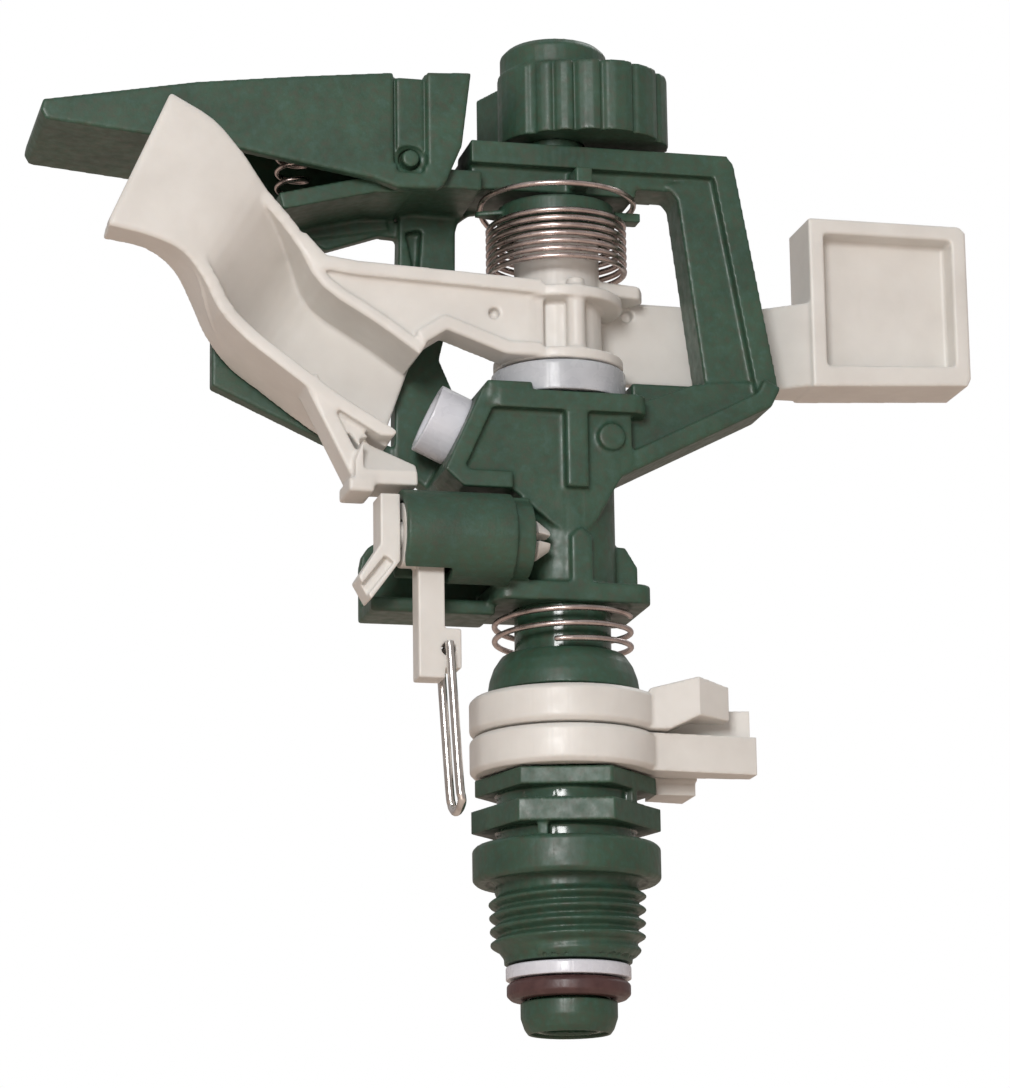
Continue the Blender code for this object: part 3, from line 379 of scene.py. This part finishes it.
def lathe(name, profile, steps=96):
    """A closed profile of (radius, height) in millimetres turned about Z."""
    bm = bmesh.new()
    rings = []
    for k in range(steps):
        angle = 2 * math.pi * k / steps
        c = math.cos(angle) * MM
        s = math.sin(angle) * MM
        rings.append([bm.verts.new((r * c, r * s, z * MM)) for r, z in profile])
    count = len(profile)
    for k in range(steps):
        here = rings[k]
        there = rings[(k + 1) % steps]
        for i in range(count):
            bm.faces.new((here[i], there[i], there[(i + 1) % count], here[(i + 1) % count]))
    bmesh.ops.recalc_face_normals(bm, faces=bm.faces)
    mesh = bpy.data.meshes.new(name)
    bm.to_mesh(mesh)
    bm.free()
    return put_in_scene(name, mesh)


def sweep(name, rows):
    """A solid through closed cross-sections with the same number of points, in millimetres."""
    bm = bmesh.new()
    rings = [[bm.verts.new([c * MM for c in spot]) for spot in row] for row in rows]
    count = len(rows[0])
    for one, two in zip(rings, rings[1:]):
        for k in range(count):
            bm.faces.new((one[k], one[(k + 1) % count], two[(k + 1) % count], two[k]))
    bm.faces.new(rings[0])
    bm.faces.new(rings[-1][::-1])
    bmesh.ops.recalc_face_normals(bm, faces=bm.faces)
    mesh = bpy.data.meshes.new(name)
    bm.to_mesh(mesh)
    bm.free()
    return put_in_scene(name, mesh)


def in_hex(spot):
    """True on the flats of the nipple's two hexagons, which stay flat."""
    return math.hypot(spot.x, spot.y) > 9.5 and (6.7 < spot.z < 10.2 or 11.7 < spot.z < 14.5)


def make_round(mesh, sides, low, high):
    """Move the flats of a turned surface out to a true circle, between two radii. Hexagons are left alone."""
    half = math.pi / sides
    for vert in mesh.vertices:
        radius = math.hypot(vert.co.x, vert.co.y)
        if low * MM < radius < high * MM and not in_hex(vert.co / MM):
            angle = math.atan2(vert.co.y, vert.co.x) % (2 * half)
            stretch = math.cos(angle - half) / math.cos(half)
            vert.co.x *= stretch
            vert.co.y *= stretch


def moulding(node, voxel, passes, faces, sides=None, radii=(0.0, 99.0), extras=(), cuts=(), sheet=None):
    """A finely meshed copy of a CAD node with softly rounded edges, which takes the node's place."""
    row = SUBPART[node]
    mesh = NODES[node].data.copy()
    mesh.materials.clear()
    piece = put_in_scene(node + "_core", mesh)
    weld = piece.modifiers.new("weld", "WELD")
    weld.merge_threshold = 0.000002
    for cutter in cuts:
        step = piece.modifiers.new(cutter.name, "BOOLEAN")
        step.operation = "DIFFERENCE"
        step.solver = "EXACT"
        step.object = cutter
    mesh = evaluated(piece)
    for cutter in cuts:
        bpy.data.objects.remove(cutter, do_unlink=True)
    bm = bmesh.new()
    bm.from_mesh(mesh)
    for extra in extras:
        bm.from_mesh(evaluated(extra))
    bm.to_mesh(mesh)
    bm.free()
    piece = put_in_scene(node + "_block", mesh)
    remesh = piece.modifiers.new("remesh", "REMESH")
    remesh.mode = "VOXEL"
    remesh.voxel_size = voxel * MM
    soften = piece.modifiers.new("soften", "SMOOTH")
    soften.factor = 0.5
    soften.iterations = passes
    mesh = evaluated(piece)
    if sides:
        make_round(mesh, sides, *radii)
    piece = put_in_scene(node + "_moulding", mesh)
    if sheet is not None:
        group = piece.vertex_groups.new(name="sheet")
        group.add([v.index for v in mesh.vertices if sheet(v.co / MM, v.normal)], 1.0, "REPLACE")
        relax = piece.modifiers.new("relax", "SMOOTH")
        relax.factor = 0.5
        relax.iterations = 14
        relax.vertex_group = "sheet"
    thin = piece.modifiers.new("thin", "DECIMATE")
    thin.ratio = min(1.0, faces / max(1, len(mesh.polygons) * 2))
    final = evaluated(piece)
    final.shade_smooth()
    final.name = node + "_moulding"
    final.materials.append(SLOT_MATERIAL[row["material_slot"]])
    made = put_in_scene(node + "_moulding", final)
    finish_piece(made, node)
    return made


def finish_piece(piece, node):
    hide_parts(node)
    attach(piece, BODY_OF[node])


def paint(piece, material, test):
    """Give the faces that pass a test on their middle, in millimetres, another material."""
    piece.data.materials.append(material)
    slot = len(piece.data.materials) - 1
    for face in piece.data.polygons:
        if test(face.center / MM):
            face.material_index = slot


def smooth_wire(node, points, radius, sides=12):
    """A round wire with filled, slightly domed ends that takes a CAD wire's place."""
    spots = [Vector(p) for p in points]
    rows = []
    across = Vector((0.0, 0.0, 1.0))
    for i, spot in enumerate(spots):
        along = (spots[min(i + 1, len(spots) - 1)] - spots[max(i - 1, 0)]).normalized()
        if i == 0:
            across = along.orthogonal().normalized()
        across = (across - along * across.dot(along)).normalized()
        other = along.cross(across)
        turn = [2 * math.pi * k / sides for k in range(sides)]
        rows.append((spot, along, [across * math.cos(a) + other * math.sin(a) for a in turn]))
    rings = []
    first, along, spokes = rows[0]
    rings.append([first - along * radius * 0.5 + s * radius * 0.5 for s in spokes])
    rings += [[spot + s * radius for s in spokes] for spot, along, spokes in rows]
    last, along, spokes = rows[-1]
    rings.append([last + along * radius * 0.5 + s * radius * 0.5 for s in spokes])
    made = sweep(node + "_wire", rings)
    made.data.shade_smooth()
    made.data.set_sharp_from_angle(angle=math.radians(60))
    made.data.materials.append(SLOT_MATERIAL[SUBPART[node]["material_slot"]])
    finish_piece(made, node)
    return made


def coil(radius, bottom, top, turns, start=0.0, centre=(0.0, 0.0), per_turn=48):
    """Points of a helix about Z in millimetres."""
    count = int(turns * per_turn)
    points = []
    for i in range(count + 1):
        angle = start + 2 * math.pi * i / per_turn
        height = bottom + (top - bottom) * i / count
        points.append((centre[0] + radius * math.cos(angle), centre[1] + radius * math.sin(angle), height))
    return points


def smooth_path(points, steps=6):
    """A Catmull-Rom curve through points."""
    spots = [Vector(p) for p in points]
    ends = [2 * spots[0] - spots[1], *spots, 2 * spots[-1] - spots[-2]]
    path = []
    for i in range(1, len(ends) - 2):
        a, b, c, d = ends[i - 1 : i + 3]
        for k in range(steps):
            t = k / steps
            square = 2 * a - 5 * b + 4 * c - d
            cube = 3 * b - a - 3 * c + d
            path.append(0.5 * (2 * b + (c - a) * t + square * t**2 + cube * t**3))
    path.append(spots[-1])
    return path


# ---------------------------------------------------------------- nipple and bearing
def nipple_piece():
    """The inlet with a real helical thread in place of the CAD's rings."""
    root = THREAD_TOP_R - THREAD_DEPTH
    low = -10.1
    high = -0.05
    trench = [(root + high * THREAD_TAPER, high), (14.5, high), (14.5, low), (root + low * THREAD_TAPER, low)]
    rows = []
    per_turn = 64
    turns = (-0.75 + 9.7) / THREAD_PITCH
    count = int(turns * per_turn)
    for i in range(count + 1):
        t = i / count
        angle = math.radians(200) - 2 * math.pi * i / per_turn
        middle = -0.75 - THREAD_PITCH * i / per_turn
        fade = min(1.0, 10 * t, 7 * (1 - t))
        base = root + middle * THREAD_TAPER
        crest = base + THREAD_DEPTH * fade
        section = ((base - 0.3, 0.98), (crest, 0.16), (crest, -0.16), (base - 0.3, -0.98))
        rows.append([(r * math.cos(angle), r * math.sin(angle), middle + dz) for r, dz in section])
    ridge = sweep("thread_ridge", rows)
    left_rib = slab("left_rib", [(-6.2, -9.2), (-4.9, -9.7), (-4.3, -8.0), (-5.6, -7.6)], 4.6, 7.2, "XY")
    right_rib = slab("right_rib", [(7.4, -7.3), (8.2, -6.4), (6.6, -5.2), (5.8, -6.2)], 9.7, 12.2, "XY")
    extras = [ridge, left_rib, right_rib]
    piece = moulding("bearing_nipple", 0.2, 3, 60000, 32, (8.3, 13.0), extras, [lathe("trench", trench)])
    paint(piece, GREEN_GLOSS, lambda p: math.hypot(p.x, p.y) < 9.6 and p.z > 5.1)


def bearing_pieces():
    moulding("bearing_cap", 0.2, 4, 16000, 32)
    for name in ("upper_collar", "lower_collar"):
        moulding(name, 0.2, 5, 24000, 32, (9.0, 13.0))
    stem = moulding("riser_stem", 0.2, 2, 16000, 32)
    paint(stem, GREEN_GLOSS, lambda p: True)
    moulding("stem_end_sleeve", 0.16, 4, 12000, 32)
    moulding("thrust_washer", 0.14, 3, 12000, 32)
    moulding("rubber_seal", 0.16, 4, 12000, 32)
    low, high = [v.z / MM for v in map(Vector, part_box("bearing_spring"))]
    points = coil(BEARING_SPRING_R, low + 0.4, high - 0.4, 2.25, start=math.radians(-110))
    spring = smooth_wire("bearing_spring", points, WIRE_R)
    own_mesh(spring)


# ---------------------------------------------------------------- head
def body_piece():
    recess = [(-20.3, 92.4), (-17.9, 92.8), (-18.6, 84.0)]
    cuts = [slab("post_recess", recess, 4.6, 7.2)]
    body = moulding("body_frame", 0.26, 4, 90000, 40, (6.0, 7.6), cuts=cuts)
    paint(
        body,
        GREEN_SAND,
        lambda p: p.x < -7.5 and math.hypot(p.y - BARREL_Y, p.z - BARREL_Z) > 5.4
        and math.hypot(p.y - BARREL_Y, p.z - BARREL_Z) < 6.6,
    )


def head_pieces():
    body_piece()
    moulding("nozzle", 0.18, 3, 16000)
    washer = moulding("arm_washer", 0.18, 3, 16000, 32)
    # Every face of the washer takes the greyed nylon: painted shade for the flange's shadow on the ring.
    paint(washer, NYLON_PAINTED_SHADE, lambda p: True)
    moulding("spring_anchor", 0.18, 3, 12000, 32, (6.0, 8.4))


def arm_piece():
    mark = lathe("ejector_mark", [(3.2, 3.0), (3.5, 3.0), (3.5, -0.4), (3.2, -0.4)], 48)
    place = Matrix.Translation(Vector(EJECTOR_MARK) * MM)
    mark.matrix_world = place @ Matrix.Rotation(math.radians(-90), 4, "X")

    def in_sheet(spot, normal):
        return spot.x < -25.5 and spot.z > 61.0 and abs(normal.y) > 0.45 and spot.y > -11.9

    moulding("arm", 0.26, 5, 90000, 32, (5.6, 9.2), cuts=[mark], sheet=in_sheet)


def trip_pieces():
    moulding("trip_hammer", 0.18, 4, 18000)
    moulding("trip_lever", 0.18, 4, 16000)
    points = [(h, BARREL_Y + u, BARREL_Z + v) for u, v, h in coil(3.2, -18.4, -9.4, 5)]
    smooth_wire("trip_spring", points, 0.3, 10)
    y = BARREL_Y
    top = 29.4
    half = 3.0
    x = WIRE_X
    foot = 8.0
    bend = []
    for a in (-1.1, -0.5, 0.0, 0.5, 1.1):
        bend.append((x + 1.4, y + half * math.sin(a), foot + 1.4 - half * 0.47 * math.cos(a)))
    bail = [(x, y + 1.4, top), (x, y - half + 0.8, top), (x, y - half, top - 0.8)]
    bail += [(x + 1.0, y - half, 12.0), (x + 1.3, y - half, foot + 1.4), *bend]
    bail += [(x + 1.3, y + half, foot + 1.4), (x + 1.0, y + half, 12.0), (x, y + half, top - 0.8)]
    bail += [(x, y + half - 0.5, top - 0.3)]
    smooth_wire("trip_wire", smooth_path(bail), 0.6, 14)


def flap_piece():
    hinge = Vector((HINGE_X, 0.0, HINGE_Z))
    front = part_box("deflector_flap")[0][1] / MM
    arch = []
    for k in range(9):
        a = math.pi * k / 8
        arch.append((hinge.x + 1.9 * math.cos(a), hinge.z + 0.6 + 1.3 * math.sin(a)))
    arch += [(hinge.x - 1.9, hinge.z - 2.1), (hinge.x + 1.9, hinge.z - 2.1)]
    cuts = [slab("arch", arch, front - 1.0, front + 1.15)]
    for x in (-24.5, -20.3):
        outline = [(x - 0.25, hinge.z - 1.0), (x + 0.25, hinge.z - 1.0), (x + 0.25, 113.0), (x - 0.25, 113.0)]
        cuts.append(slab("side_groove", outline, front - 1.0, front + 1.1))
    moulding("deflector_flap", 0.24, 4, 50000, cuts=cuts)


def springs():
    start = math.radians(95)
    points = coil(ARM_SPRING_R, *ARM_SPRING_Z, 7, start=start)
    per_turn = 48
    for i in range(1, per_turn + 1):
        t = i / per_turn
        climb = min(1.0, t / 0.3)
        climb = climb * climb * (3 - 2 * climb)
        angle = start + 2 * math.pi * t
        radius = ARM_SPRING_R + (ARM_SPRING_TOP_R - ARM_SPRING_R) * climb
        height = ARM_SPRING_Z[1] + (ARM_SPRING_TOP_Z - ARM_SPRING_Z[1]) * climb
        points.append((radius * math.cos(angle), radius * math.sin(angle), height))
    smooth_wire("arm_spring", points, WIRE_R)
    spring = smooth_wire("flap_spring", coil(FLAP_SPRING_R, 95.1, 106.4, 5, centre=FLAP_SPRING), 0.35)
    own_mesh(spring)


# ---------------------------------------------------------------- the whole object
camera()
floor_and_light()
nipple_piece()
bearing_pieces()
head_pieces()
arm_piece()
trip_pieces()
flap_piece()
moulding("cam_knob", 0.2, 3, 44000)
springs()

for name in ("flow_vane", "fulcrum_pin"):
    node = NODES[name]
    node.data.materials.clear()
    node.data.materials.append(SLOT_MATERIAL[SUBPART[name]["material_slot"]])
    edge = node.modifiers.new("edge", "BEVEL")
    edge.width = 0.00012
    edge.segments = 2
